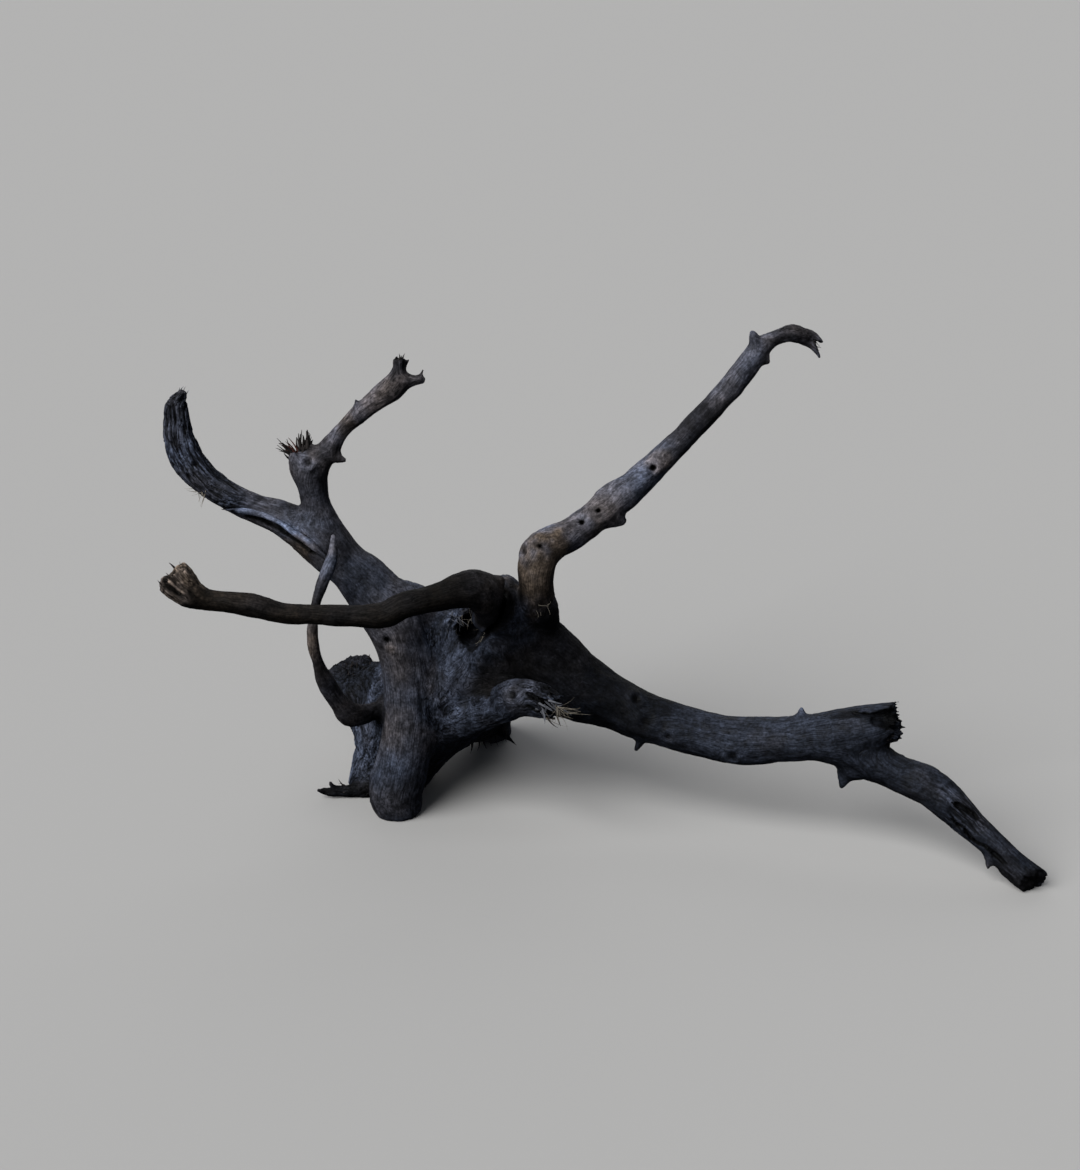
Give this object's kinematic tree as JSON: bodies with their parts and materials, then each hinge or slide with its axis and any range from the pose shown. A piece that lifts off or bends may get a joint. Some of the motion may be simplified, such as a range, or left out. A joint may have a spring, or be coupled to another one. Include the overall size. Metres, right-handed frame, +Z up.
{
  "type": "dry root",
  "caption": "Weathered dry root: a thick leg and gnarled burl with long bent branches, a curling twig and broken stubs, resting on its worn feet.",
  "frame": {"origin": "on the floor, under the middle of the root's outline seen from above", "axes": "+Z up, +X towards the long branch that comes down to the floor, +Y towards the hidden back root"},
  "size_m": [0.4309, 0.1944, 0.2513],
  "materials": {
    "weathered_wood": "dry, barkless grey-brown wood, matte with fine grain"
  },
  "bodies": {
    "root": {"dry_root": "weathered_wood"}
  },
  "joints": []
}
